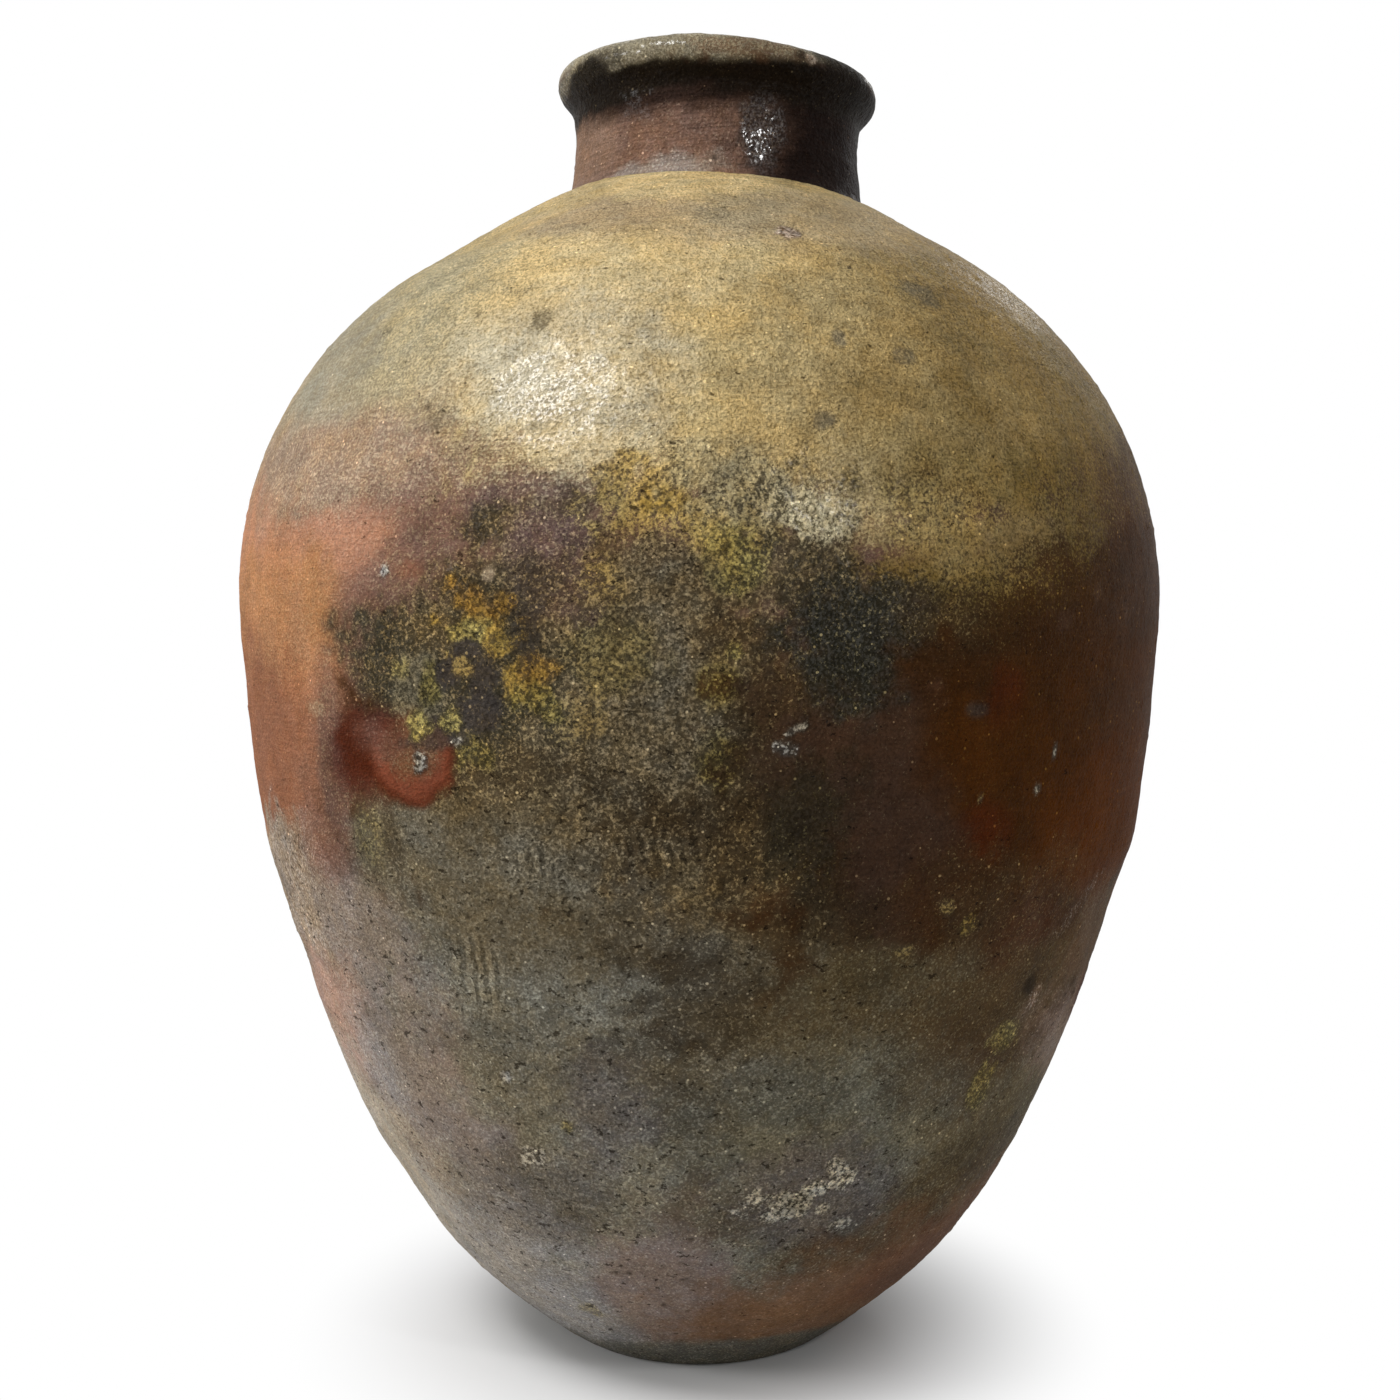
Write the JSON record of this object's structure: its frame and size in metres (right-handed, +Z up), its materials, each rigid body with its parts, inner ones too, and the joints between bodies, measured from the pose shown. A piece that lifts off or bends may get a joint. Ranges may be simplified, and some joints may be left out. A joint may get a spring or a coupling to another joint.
{
  "type": "pottery jar",
  "caption": "Tall coil-built stoneware storage jar with a narrow flat base, a full high belly, a sloping shoulder, a short leaning neck and a rolled rim.",
  "frame": {"origin": "middle of the flat base face, on the surface that the jar stands on", "axes": "+Z up, along the body's axis; +X to the viewer's right when the pictured side, which faces -Y, is in front; the neck stands a little to +X and leans that way"},
  "size_m": [0.3618, 0.3618, 0.5027],
  "materials": {
    "base_disc": "matte",
    "foot_wall": "matte",
    "lower_wall": "matte",
    "belly_wall": "satin",
    "upper_belly_wall": "satin",
    "shoulder_dome": "satin",
    "neck_collar": "satin",
    "rolled_rim": "satin"
  },
  "bodies": {
    "root": {"base_disc": "base_disc", "foot_wall": "foot_wall", "lower_wall": "lower_wall", "belly_wall": "belly_wall", "upper_belly_wall": "upper_belly_wall", "shoulder_dome": "shoulder_dome", "neck_collar": "neck_collar", "rolled_rim": "rolled_rim"}
  },
  "joints": []
}
